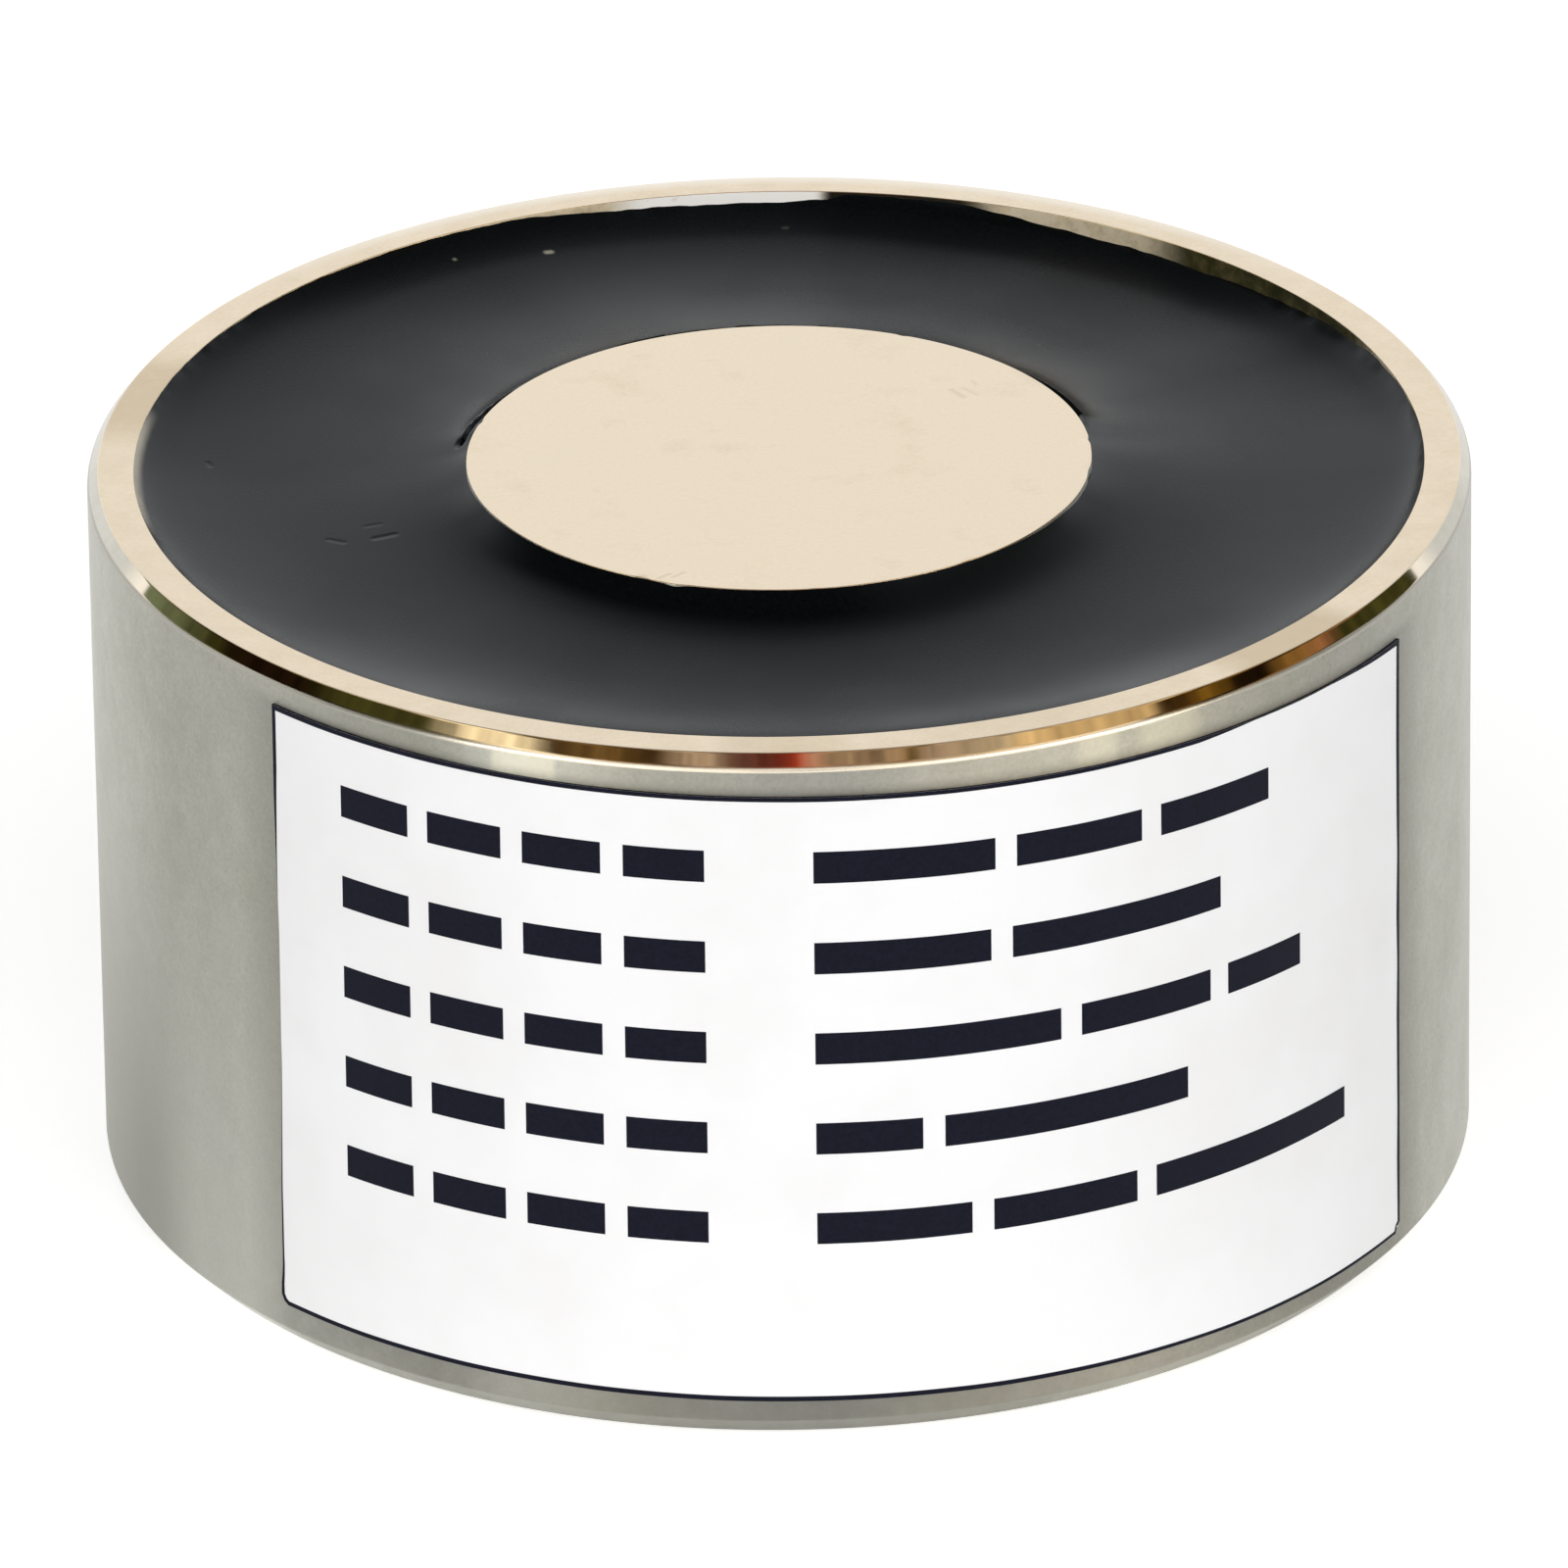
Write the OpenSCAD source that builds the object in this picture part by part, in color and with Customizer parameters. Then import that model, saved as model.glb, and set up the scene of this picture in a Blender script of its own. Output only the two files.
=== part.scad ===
// Holding electromagnet: a round nickel-plated steel pot with a centre pole, a coil potted in
// black resin between them, a threaded mounting hole in the back and leads out of the side.
// Millimetres. The origin is the centre of the mounting face. +Z points to the pole face and
// -Y to the middle of the label.

/* [Pot] */
// Outside diameter of the pot
pot_d = 50; // [46:0.5:56]
// Height from the mounting face to the pole face
pot_h = 27; // [24:0.5:34]
// Thickness of the pot's wall
wall_t = 1.7; // [1.4:0.1:2.2]
// Thickness of the pot's base
base_t = 4; // [3:0.5:6]
// Chamfer around the outside of the rim
rim_chamfer = 0.5; // [0.3:0.1:0.8]
// Broken edge around the inside of the rim
mouth_break = 0.1; // [0.05:0.05:0.3]
// Chamfer around the mounting face
foot_chamfer = 0.8; // [0.4:0.1:1.2]
// Relief left by the turning tool in the corner of the cavity
cavity_corner = 0.4; // [0.2:0.1:0.4]

/* [Pole core] */
// Diameter of the centre pole
core_d = 22.6; // [20:0.2:25]
// Broken edge around the pole
core_edge = 0.05; // [0.05:0.05:0.3]
// Diameter of the spigot that is riveted into the base
spigot_d = 12; // [10:0.5:15]
// Flare of the riveted end, as depth and as width
swage = 0.6; // [0.3:0.1:1]

/* [Mounting thread] */
// Major diameter of the thread, M5
thread_d = 5; // [4:1:6]
// Depth of the full-width hole
thread_depth = 10; // [8:0.5:14]
// Countersink at the mouth of the thread
thread_mouth = 0.5; // [0.3:0.1:0.8]
// Point angle of the drill that made the hole
drill_angle = 118; // [110:1:140]

/* [Coil] */
// Clearance between the pole and the bobbin
bobbin_fit = 0.2; // [0.1:0.05:0.3]
// Wall of the bobbin's hub
hub_t = 1; // [0.8:0.1:1.4]
// Thickness of each bobbin flange
flange_t = 1.2; // [0.8:0.1:1.6]
// Clearance between the flanges and the pot
flange_gap = 0.5; // [0.4:0.1:0.7]
// Distance that the taped winding stays inside the flange edge
winding_inset = 2; // [1.8:0.1:3]
// Thickness of the insulating tape over the winding
tape_t = 0.3; // [0.2:0.05:0.5]

/* [Potting] */
// Depth of the resin under the pole face, where it meets the walls
resin_drop = 0.35; // [0.3:0.05:0.9]
// Further depth in the middle of the hollow resin surface
resin_sag = 0.7; // [0.3:0.05:1]
// Least cover of resin over the coil
resin_cover = 2; // [1:0.1:3]
// Power of the curve of the resin surface
resin_curve = 2.4; // [2:0.1:4]

/* [Lead outlet] */
// Diameter of the outlet hole in the wall of the pot
outlet_d = 5; // [4.5:0.1:6]
// Diameter of the passage through the bush
lead_d = 3; // [2.5:0.1:3.5]
// Broken edge at the mouth of the passage
bush_edge = 0.25; // [0.1:0.05:0.4]
// Reach of the bush into the resin
bush_reach = 1.2; // [0.8:0.1:1.6]
// Depth of the bush's end under the outside of the pot
bush_inset = 0.1; // [0.05:0.05:0.4]
// Distance of the outlet above the lower flange
outlet_lift = 0.5; // [0.3:0.1:2]

/* [Label] */
// Length of the label around the pot
label_w = 47.4; // [38:0.2:56]
// Thickness of the label
label_t = 0.12; // [0.08:0.01:0.2]
// Distance of the label from the pole face, at its middle
label_top_gap = 1.55; // [1.4:0.05:3]
// Distance of the label from the mounting face, at its middle
label_foot_gap = 1.6; // [1.5:0.05:3]
// Lean of the label in degrees, its right-hand end lower
label_lean = 0.6; // [0:0.1:1]

/* [Hidden] */
$fn = 96;
// Points along the curve of the resin surface
resin_steps = 20;
pot_r = pot_d / 2;
bore_r = pot_r - wall_t;
core_r = core_d / 2;
spigot_r = spigot_d / 2;
thread_r = thread_d / 2;
drill_tip = thread_r / tan(drill_angle / 2);
hub_in_r = core_r + bobbin_fit;
hub_r = hub_in_r + hub_t;
flange_r = bore_r - flange_gap;
tape_r = flange_r - winding_inset;
winding_r = tape_r - tape_t;
bobbin_top = pot_h - resin_drop - resin_sag - resin_cover;
window_top = bobbin_top - flange_t;
window_foot = base_t + flange_t;
resin_mid_r = (bore_r + core_r) / 2;
resin_half = (bore_r - core_r) / 2;
outlet_r = outlet_d / 2;
lead_r = lead_d / 2;
outlet_z = window_foot + outlet_lift + outlet_r;
bush_foot_y = bore_r - bush_reach;
bush_end_y = sqrt(pot_r * pot_r - outlet_r * outlet_r) - bush_inset;
bush_l = bush_end_y - bush_foot_y;
label_angle = label_w / pot_r * 180 / PI;
label_h = pot_h - label_top_gap - label_foot_gap;

// Height of the resin surface at radius r: a hollow ring that climbs to the pole and to the rim
function resin_z(r) =
    pot_h - resin_drop - resin_sag * (1 - pow(abs(r - resin_mid_r) / resin_half, resin_curve));

// The resin surface as points from the wall of the pot to the pole
function resin_surface() = [
    for (i = [0 : resin_steps])
        let (r = bore_r - (bore_r - core_r) * i / resin_steps)
        [r, resin_z(r)]
];

// Round bar along +Y at the height of the lead outlet, from y0 to y1
module outlet_bar(r, y0, y1) {
    translate([0, y0, outlet_z])
        rotate([-90, 0, 0])
            cylinder(h = y1 - y0, r = r);
}

// The cup, turned from one bar: base with the riveting hole, wall with the lead outlet
module pot_shell() {
    color("silver")
        difference() {
            rotate_extrude()
                polygon([
                    [spigot_r + swage, 0],
                    [pot_r - foot_chamfer, 0],
                    [pot_r, foot_chamfer],
                    [pot_r, pot_h - rim_chamfer],
                    [pot_r - rim_chamfer, pot_h],
                    [bore_r + mouth_break, pot_h],
                    [bore_r, pot_h - mouth_break],
                    [bore_r, base_t + cavity_corner],
                    [bore_r - cavity_corner, base_t],
                    [spigot_r, base_t],
                    [spigot_r, swage]
                ]);
            outlet_bar(outlet_r, bore_r / 2, pot_r * 2);
        }
}

// The centre pole with its riveted spigot and the blind tapped hole from the back
module pole_core() {
    color("gainsboro")
        rotate_extrude()
            polygon([
                [0, thread_depth + drill_tip],
                [thread_r, thread_depth],
                [thread_r, thread_mouth],
                [thread_r + thread_mouth, 0],
                [spigot_r + swage, 0],
                [spigot_r, swage],
                [spigot_r, base_t],
                [core_r, base_t],
                [core_r, pot_h - core_edge],
                [core_r - core_edge, pot_h],
                [0, pot_h]
            ]);
}

// The moulded former: a hub over the pole and two flanges
module coil_bobbin() {
    color("ivory")
        rotate_extrude()
            polygon([
                [hub_in_r, base_t],
                [flange_r, base_t],
                [flange_r, window_foot],
                [hub_r, window_foot],
                [hub_r, window_top],
                [flange_r, window_top],
                [flange_r, bobbin_top],
                [hub_in_r, bobbin_top]
            ]);
}

// All turns of the enamelled copper wire, as one block in the bobbin
module coil_winding() {
    color("chocolate")
        rotate_extrude()
            polygon([
                [hub_r, window_foot],
                [winding_r, window_foot],
                [winding_r, window_top],
                [hub_r, window_top]
            ]);
}

// The wrap of insulating tape over the winding
module coil_tape() {
    color("gold")
        rotate_extrude()
            polygon([
                [winding_r, window_foot],
                [tape_r, window_foot],
                [tape_r, window_top],
                [winding_r, window_top]
            ]);
}

// The cast resin: around the taped coil, over its upper flange, and hollow on top
module potting_resin() {
    color("dimgray")
        difference() {
            rotate_extrude()
                polygon(concat(
                    [
                        [core_r, bobbin_top],
                        [flange_r, bobbin_top],
                        [flange_r, window_top],
                        [tape_r, window_top],
                        [tape_r, window_foot],
                        [flange_r, window_foot],
                        [flange_r, base_t],
                        [bore_r - cavity_corner, base_t],
                        [bore_r, base_t + cavity_corner]
                    ],
                    resin_surface()
                ));
            outlet_bar(outlet_r, bush_foot_y, pot_r);
        }
}

// The insulating bush that lines the lead outlet
module lead_bush() {
    color("black")
        translate([0, bush_foot_y, outlet_z])
            rotate([-90, 0, 0])
                rotate_extrude()
                    polygon([
                        [lead_r, 0],
                        [outlet_r, 0],
                        [outlet_r, bush_l],
                        [lead_r + bush_edge, bush_l],
                        [lead_r, bush_l - bush_edge]
                    ]);
}

// The paper label around the front of the wall, stuck on a little askew
module label() {
    color("white")
        intersection() {
            rotate([0, 0, -90 - label_angle / 2])
                rotate_extrude(angle = label_angle)
                    polygon([
                        [pot_r, 0],
                        [pot_r + label_t, 0],
                        [pot_r + label_t, pot_h],
                        [pot_r, pot_h]
                    ]);
            translate([0, 0, label_foot_gap + label_h / 2])
                rotate([0, label_lean, 0])
                    cube([4 * pot_r, 4 * pot_r, label_h], center = true);
        }
}

pot_shell();
pole_core();
coil_bobbin();
coil_winding();
coil_tape();
potting_resin();
lead_bush();
label();
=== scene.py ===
import math

import bmesh
import bpy
import numpy as np
from mathutils import Matrix, Vector


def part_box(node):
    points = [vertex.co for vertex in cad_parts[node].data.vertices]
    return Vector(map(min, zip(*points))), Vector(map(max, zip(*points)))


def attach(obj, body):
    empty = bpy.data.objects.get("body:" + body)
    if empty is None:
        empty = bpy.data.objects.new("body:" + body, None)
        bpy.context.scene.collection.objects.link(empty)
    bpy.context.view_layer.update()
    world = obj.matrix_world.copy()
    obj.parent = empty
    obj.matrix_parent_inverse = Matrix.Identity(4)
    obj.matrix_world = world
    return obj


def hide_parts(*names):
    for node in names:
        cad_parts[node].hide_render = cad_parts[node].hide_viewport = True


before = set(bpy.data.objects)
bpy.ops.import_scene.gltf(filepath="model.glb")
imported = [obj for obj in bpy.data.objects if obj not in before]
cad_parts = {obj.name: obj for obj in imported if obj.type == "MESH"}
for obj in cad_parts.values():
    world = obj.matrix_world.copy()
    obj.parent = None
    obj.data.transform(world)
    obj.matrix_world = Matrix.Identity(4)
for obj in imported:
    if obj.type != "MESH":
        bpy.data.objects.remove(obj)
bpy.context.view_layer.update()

# Sizes in millimetres, read from the CAD nodes.
MM = 0.001
POT_R = round(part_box("pot_shell")[1].x / MM, 3)
POT_H = round(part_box("pot_shell")[1].z / MM, 3)
CORE_R = round(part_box("pole_core")[1].x / MM, 3)
BORE_R = round(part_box("potting_resin")[1].x / MM, 3)
FLANGE_R = round(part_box("coil_bobbin")[1].x / MM, 3)
BOBBIN_TOP = round(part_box("coil_bobbin")[1].z / MM, 3)
BASE_T = round(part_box("coil_bobbin")[0].z / MM, 3)
TAPE_R = round(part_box("coil_tape")[1].x / MM, 3)
WINDOW_FOOT = round(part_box("coil_tape")[0].z / MM, 3)
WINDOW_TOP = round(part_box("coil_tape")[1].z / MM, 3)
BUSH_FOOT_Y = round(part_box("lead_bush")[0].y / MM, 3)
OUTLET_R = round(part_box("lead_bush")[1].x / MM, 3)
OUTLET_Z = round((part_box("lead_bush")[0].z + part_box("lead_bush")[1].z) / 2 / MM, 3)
SPIGOT_R = 6.0
SWAGE = 0.6
THREAD_R = 2.5
THREAD_DEPTH = 10.0
THREAD_MOUTH = 0.5
THREAD_PITCH = 0.8
DRILL_HALF_ANGLE = math.radians(59)
FOOT_CHAMFER = 0.8
CAVITY_CORNER = 0.4
EDGE_BREAK = 0.02
CHAMFER_W, CHAMFER_H = 0.4, 0.5
LABEL_LEAN = 0.6

# The camera stands this far round from the label's middle. Angles "seen" are counted from the
# picture's right-hand side, towards the back.
TURN = math.radians(7.8)


# Mesh helpers

def mesh_object(name, verts, faces, materials, indices=None, sharp=35):
    mesh = bpy.data.meshes.new(name)
    mesh.from_pydata([tuple(v) for v in np.asarray(verts) * MM], [], [tuple(f) for f in faces])
    for m in materials:
        mesh.materials.append(m)
    if indices is not None:
        mesh.polygons.foreach_set("material_index", np.asarray(indices, np.int32))
    bm = bmesh.new()
    bm.from_mesh(mesh)
    bmesh.ops.recalc_face_normals(bm, faces=bm.faces)
    bm.to_mesh(mesh)
    bm.free()
    mesh.shade_smooth()
    mesh.set_sharp_from_angle(angle=math.radians(sharp))
    obj = bpy.data.objects.new(name, mesh)
    bpy.context.collection.objects.link(obj)
    return obj


def rounded(corners, steps=4, guard=0.05):
    """Profile with rounded corners: each corner is (r, z, radius, material of the edge that follows)."""
    points, mats = [], []
    n = len(corners)
    for i in range(n):
        p = np.array(corners[i][:2], float)
        before = np.array(corners[i - 1][:2], float) - p
        after = np.array(corners[(i + 1) % n][:2], float) - p
        radius, mat = corners[i][2], corners[i][3]
        if radius <= 0:
            points.append(p)
            mats.append(mat)
            continue
        d0 = before / np.linalg.norm(before)
        d1 = after / np.linalg.norm(after)
        turn = math.pi - math.acos(max(-1.0, min(1.0, float(d0 @ d1))))
        t = radius * math.tan(turn / 2)
        bend = [(1 - u) ** 2 * d0 * t + u * u * d1 * t for u in np.linspace(0, 1, steps + 1)]
        ahead, behind = [min(t + guard, 0.45 * np.linalg.norm(edge)) for edge in (before, after)]
        arc = [d0 * ahead] + bend + [d1 * behind]
        points += [p + a for a in arc]
        mats += [corners[i - 1][3]] + [mat] * (len(arc) - 1)
    return points, mats


def lathe(points, mats, segments, closed=True):
    """Rings of a profile turned round Z. A point on the axis becomes one vertex."""
    angles = np.linspace(0, 2 * np.pi, segments, endpoint=False)
    verts, rings = [], []
    for r, z in points:
        if r < 1e-6:
            rings.append([len(verts)] * segments)
            verts.append((0.0, 0.0, z))
        else:
            rings.append(list(range(len(verts), len(verts) + segments)))
            verts += [(r * math.cos(a), r * math.sin(a), z) for a in angles]
    faces, indices = [], []
    last = len(points) if closed else len(points) - 1
    for i in range(last):
        a, b = rings[i], rings[(i + 1) % len(points)]
        for j in range(segments):
            k = (j + 1) % segments
            face = [a[j], a[k], b[k], b[j]]
            face = [v for n, v in enumerate(face) if v not in face[:n]]
            if len(face) > 2:
                faces.append(face)
                indices.append(mats[i])
    return np.array(verts), faces, indices


def drilled(obj, tools):
    """Cuts the tools out of the object and keeps the result as its mesh."""
    for tool in tools:
        cut = obj.modifiers.new("cut", "BOOLEAN")
        cut.operation = "DIFFERENCE"
        cut.solver = "EXACT"
        cut.object = tool
    bpy.context.view_layer.update()
    done = bpy.data.meshes.new_from_object(obj.evaluated_get(bpy.context.evaluated_depsgraph_get()))
    obj.modifiers.clear()
    obj.data = done
    for tool in tools:
        bpy.data.objects.remove(tool)
    return obj


def cone_along_y(name, y0, r0, y1, r1, segments=96):
    """A capped cone round the axis of the lead outlet."""
    verts, faces = [], []
    for y, r in ((y0, r0), (y1, r1)):
        for a in np.linspace(0, 2 * np.pi, segments, endpoint=False):
            verts.append((r * math.cos(a), y, OUTLET_Z + r * math.sin(a)))
    for j in range(segments):
        k = (j + 1) % segments
        faces.append((j, k, segments + k, segments + j))
    faces.append(tuple(range(segments)))
    faces.append(tuple(range(segments, 2 * segments)))
    return mesh_object(name, verts, faces, [])


def waves(angle, seed, low, high, amount):
    """A smooth random curve round the circle."""
    rng = np.random.default_rng(seed)
    out = np.zeros_like(angle)
    for k in range(low, high + 1):
        out += rng.normal() / math.sqrt(high - low + 1) * np.cos(k * angle + rng.uniform(0, 2 * np.pi))
    return amount * out


def round_table(seen_deg, table):
    """Smooth values round the circle from (angle seen in degrees, value) pairs."""
    a = np.array([p[0] for p in table], float)
    v = np.array([p[1] for p in table], float)
    a = np.concatenate([a - 360, a, a + 360])
    v = np.concatenate([v, v, v])
    x = np.mod(seen_deg, 360.0)
    i = np.clip(np.searchsorted(a, x) - 1, 0, len(a) - 2)
    u = (x - a[i]) / (a[i + 1] - a[i])
    u = u * u * (3 - 2 * u)
    return v[i] * (1 - u) + v[i + 1] * u


# Material helpers

class Mat:
    """A node material with a Principled shader, and short calls for the nodes that feed it."""

    def __init__(self, name, base, rough, metallic=0.0, specular=0.5):
        self.mat = bpy.data.materials.new(name)
        self.mat.use_nodes = True
        self.nt = self.mat.node_tree
        self.bsdf = self.nt.nodes["Principled BSDF"]
        self.bsdf.inputs["Base Color"].default_value = (*base, 1)
        self.bsdf.inputs["Roughness"].default_value = rough
        self.bsdf.inputs["Metallic"].default_value = metallic
        self.bsdf.inputs["Specular IOR Level"].default_value = specular
        self.coords = self.nt.nodes.new("ShaderNodeTexCoord").outputs["Object"]

    def put(self, socket, value):
        if isinstance(value, bpy.types.NodeSocket):
            self.nt.links.new(value, socket)
        else:
            socket.default_value = value

    def to(self, name, value):
        self.put(self.bsdf.inputs[name], value)

    def stretch(self, scale):
        node = self.nt.nodes.new("ShaderNodeMapping")
        self.put(node.inputs["Vector"], self.coords)
        node.inputs["Scale"].default_value = scale
        return node.outputs["Vector"]

    def noise(self, size_mm, detail=3.0, roughness=0.5, vector=None):
        node = self.nt.nodes.new("ShaderNodeTexNoise")
        self.put(node.inputs["Vector"], vector or self.coords)
        node.inputs["Scale"].default_value = 1 / (size_mm * MM)
        node.inputs["Detail"].default_value = detail
        node.inputs["Roughness"].default_value = roughness
        return node.outputs["Fac"]

    def rings(self, pitch_mm, kind="RINGS", direction="Z", distortion=0.0, detail=0.0, detail_scale=1.0):
        node = self.nt.nodes.new("ShaderNodeTexWave")
        node.wave_type = kind
        if kind == "RINGS":
            node.rings_direction = direction
        else:
            node.bands_direction = direction
        self.put(node.inputs["Vector"], self.coords)
        node.inputs["Scale"].default_value = 0.314 / (pitch_mm * MM)
        node.inputs["Distortion"].default_value = distortion
        node.inputs["Detail"].default_value = detail
        node.inputs["Detail Scale"].default_value = detail_scale
        return node.outputs["Fac"]

    def ramp(self, fac, stops):
        node = self.nt.nodes.new("ShaderNodeValToRGB")
        self.put(node.inputs["Fac"], fac)
        ramp = node.color_ramp
        while len(ramp.elements) < len(stops):
            ramp.elements.new(0.5)
        for element, (place, colour) in zip(ramp.elements, stops):
            element.position = place
            element.color = (*colour, 1) if isinstance(colour, tuple) else (colour, colour, colour, 1)
        return node.outputs["Color"]

    def span(self, value, low, high, to_low, to_high, smooth=False):
        node = self.nt.nodes.new("ShaderNodeMapRange")
        if smooth:
            node.interpolation_type = "SMOOTHSTEP"
        self.put(node.inputs["Value"], value)
        node.inputs["From Min"].default_value = low
        node.inputs["From Max"].default_value = high
        node.inputs["To Min"].default_value = to_low
        node.inputs["To Max"].default_value = to_high
        return node.outputs["Result"]

    def math(self, operation, a, b=0.0):
        node = self.nt.nodes.new("ShaderNodeMath")
        node.operation = operation
        self.put(node.inputs[0], a)
        self.put(node.inputs[1], b)
        return node.outputs["Value"]

    def mix(self, fac, a, b, blend="MIX"):
        node = self.nt.nodes.new("ShaderNodeMix")
        node.data_type = "RGBA"
        node.blend_type = blend
        self.put(node.inputs["Factor"], fac)
        self.put(node.inputs[6], (*a, 1) if isinstance(a, tuple) else a)
        self.put(node.inputs[7], (*b, 1) if isinstance(b, tuple) else b)
        return node.outputs[2]

    def along(self, axis):
        """Distance along the direction from the part's axis, in metres."""
        node = self.nt.nodes.new("ShaderNodeVectorMath")
        node.operation = "DOT_PRODUCT"
        self.put(node.inputs[0], self.coords)
        node.inputs[1].default_value = axis
        return node.outputs["Value"]

    def facing(self, seen_deg, radius):
        """Cosine of the angle round the axis from this bearing, at a radius in metres."""
        return self.math("DIVIDE", self.along(bearing(seen_deg)), radius)

    def vector(self, operation, a, b=None, scale=None):
        node = self.nt.nodes.new("ShaderNodeVectorMath")
        node.operation = operation
        self.put(node.inputs[0], a)
        if b is not None:
            self.put(node.inputs[1], b)
        if scale is not None:
            self.put(node.inputs["Scale"], scale)
        return node.outputs["Value" if operation in ("LENGTH", "DOT_PRODUCT") else "Vector"]

    def radius(self):
        """Distance from the part's axis, in metres."""
        return self.vector("LENGTH", self.stretch((1, 1, 0)))

    def stroke(self, start, end, width_mm):
        """1 on a short line seen from above, 0 off it. Its ends are in millimetres, right and back."""
        a, b = level_point(*start), level_point(*end)
        off = self.vector("SUBTRACT", self.stretch((1, 1, 0)), tuple(a))
        run = b - a
        if run.length > 0:
            t = self.span(self.vector("DOT_PRODUCT", off, tuple(run)), 0, run.length_squared, 0, 1)
            off = self.vector("SUBTRACT", off, self.vector("SCALE", tuple(run), scale=t))
        return self.span(self.vector("LENGTH", off), 0, width_mm * MM, 1, 0, True)

    def strokes(self, lines):
        """The strongest of several strokes: each is (start, end, width, weight)."""
        total = None
        for start, end, width, weight in lines:
            one = self.math("MULTIPLY", self.stroke(start, end, width), weight)
            total = one if total is None else self.math("MAXIMUM", total, one)
        return total

    def bump(self, height, distance_mm, strength):
        node = self.nt.nodes.new("ShaderNodeBump")
        node.inputs["Strength"].default_value = strength
        node.inputs["Distance"].default_value = distance_mm * MM
        self.put(node.inputs["Height"], height)
        self.to("Normal", node.outputs["Normal"])


# Directions of the picture, level with the floor
RIGHT = (math.cos(TURN), -math.sin(TURN), 0.0)
AWAY = (math.sin(TURN), math.cos(TURN), 0.0)


def level_point(right_mm, back_mm):
    return (Vector(RIGHT) * right_mm + Vector(AWAY) * back_mm) * MM


def cos_deg(deg):
    return math.cos(math.radians(deg))


def bearing(seen_deg):
    """Level direction at an angle counted from the picture's right-hand side towards the back."""
    b = math.radians(seen_deg)
    return tuple(Vector(RIGHT) * math.cos(b) + Vector(AWAY) * math.sin(b))


def nickel_side():
    m = Mat("nickel_side", (0.5, 0.5, 0.45), 0.46, 1.0)
    blotch = m.noise(4.0, 4, 0.6, m.stretch((1.0, 1.0, 0.8)))
    mottle = m.noise(0.9, 4, 0.7)
    grain = m.noise(0.16, 2, 0.7)
    tone = m.ramp(blotch, [(0.3, (0.43, 0.43, 0.375)), (0.52, (0.5, 0.5, 0.45)), (0.75, (0.57, 0.57, 0.52))])
    fleck = m.ramp(mottle, [(0.32, (0.4, 0.4, 0.36)), (0.68, (0.62, 0.61, 0.58))])
    tone = m.mix(0.22, tone, fleck, "OVERLAY")
    tone = m.mix(0.24, tone, m.ramp(grain, [(0.3, 0.35), (0.7, 0.68)]), "OVERLAY")
    tone = m.mix(m.span(m.noise(0.4, 2, 0.5), 0.7, 0.78, 0, 0.3), tone, (0.28, 0.27, 0.22))
    # Painted light and shade: lighter low down on the left, darker low down towards the far left edge, and a
    # painted shadow along the foot at the front.
    low = m.span(m.along((0, 0, 1)), 0, 0.8 * POT_H * MM, 1, 0, True)
    far = m.span(m.facing(191, POT_R * MM), 0.93, 0.99, 0, 1, True)
    left = m.span(m.facing(215, POT_R * MM), 0.8, 0.96, 0, 1, True)
    front = m.span(m.facing(270, POT_R * MM), 0.8, 0.95, 0, 1, True)
    foot = m.math("MULTIPLY", front, m.span(m.along((0, 0, 1)), 1.4 * MM, 2.4 * MM, 1, 0, True))
    tone = m.mix(m.math("MULTIPLY", m.math("MULTIPLY", low, left), 0.5), tone, (0.66, 0.66, 0.61))
    tone = m.mix(m.math("MULTIPLY", m.math("MULTIPLY", low, far), 0.85), tone, (0.28, 0.28, 0.24))
    tone = m.mix(m.math("MULTIPLY", foot, 0.7), tone, (0.31, 0.31, 0.28))
    # Three painted highlights on the wall just over the label
    over = m.span(m.along((0, 0, 1)), 24.6 * MM, 25.0 * MM, 0, 1, True)
    painted_highlight = ((248.6, 2.4, 0.7, 0.5), (296.2, 0.8, 1.6, 0.3), (303, 1.2, 2.5, 0.35))
    for place, spread, fade, weight in painted_highlight:
        near = m.span(m.facing(place, POT_R * MM), cos_deg(spread + fade), cos_deg(spread), 0, weight, True)
        tone = m.mix(m.math("MULTIPLY", near, over), tone, (0.88, 0.85, 0.68))
    # Darker along the label's upper edge, at the front
    lean = m.math("MULTIPLY", m.along((1, 0, 0)), math.tan(math.radians(LABEL_LEAN)))
    height = m.math("ADD", m.along((0, 0, 1)), lean)
    darker_by_label = m.span(height, 25.4 * MM, 25.95 * MM, 0.45, 0, True)
    darker_by_label = m.math("MULTIPLY", darker_by_label, m.span(m.along((0, -1, 0)), 13 * MM, 15 * MM, 0, 1))
    tone = m.mix(m.math("MULTIPLY", darker_by_label, m.span(mottle, 0.3, 0.6, 0.6, 1.1)), tone, (0.2, 0.195, 0.17))
    m.to("Base Color", tone)
    m.to("Roughness", m.span(blotch, 0.3, 0.7, 0.41, 0.47))
    m.to("Anisotropic", 1.0)
    m.to("Anisotropic Rotation", 0.25)
    turned = m.nt.nodes.new("ShaderNodeTangent")
    turned.direction_type = "RADIAL"
    turned.axis = "Z"
    m.to("Tangent", turned.outputs["Tangent"])
    m.bump(m.math("ADD", m.math("MULTIPLY", mottle, 1.5), grain), 0.003, 0.3)
    return m.mat


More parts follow.
